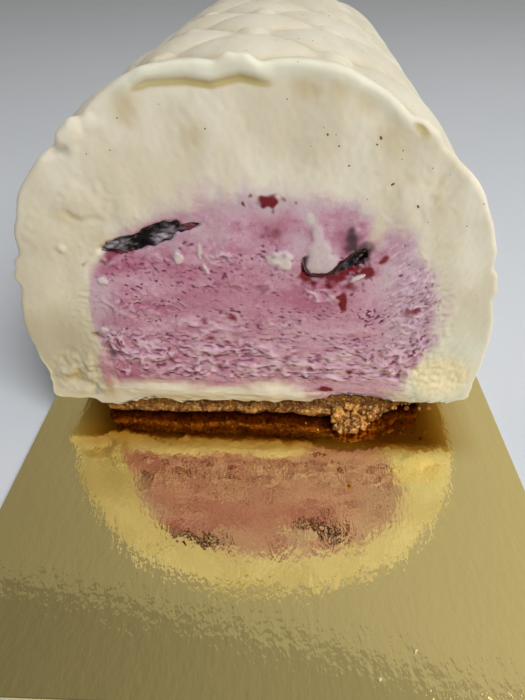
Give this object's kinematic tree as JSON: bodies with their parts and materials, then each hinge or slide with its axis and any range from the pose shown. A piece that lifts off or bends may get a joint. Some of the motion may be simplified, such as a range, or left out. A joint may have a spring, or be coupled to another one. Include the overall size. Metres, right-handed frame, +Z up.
{
  "type": "ice cream log",
  "caption": "Domed ice cream log cut across to show its berry core: quilted vanilla outside, sliced cherries in the core, biscuit base, on an oblong gold foil cake card",
  "frame": {"origin": "centre of the card's underside, on the surface that it lies on", "axes": "+Y runs along the log from the cut face to the far end, +Z is up, +X is to the right for someone who looks at the cut face"},
  "size_m": [0.1, 0.208, 0.075],
  "materials": {
    "gold_foil": "gloss",
    "biscuit": "matte",
    "vanilla": "satin",
    "berry": "satin",
    "cherry": "gloss"
  },
  "bodies": {
    "root": {"gold_card": "gold_foil", "biscuit_base": "biscuit", "vanilla_ice_cream": "vanilla", "berry_core": "berry", "left_cherry": "cherry", "right_cherry": "cherry"}
  },
  "joints": []
}
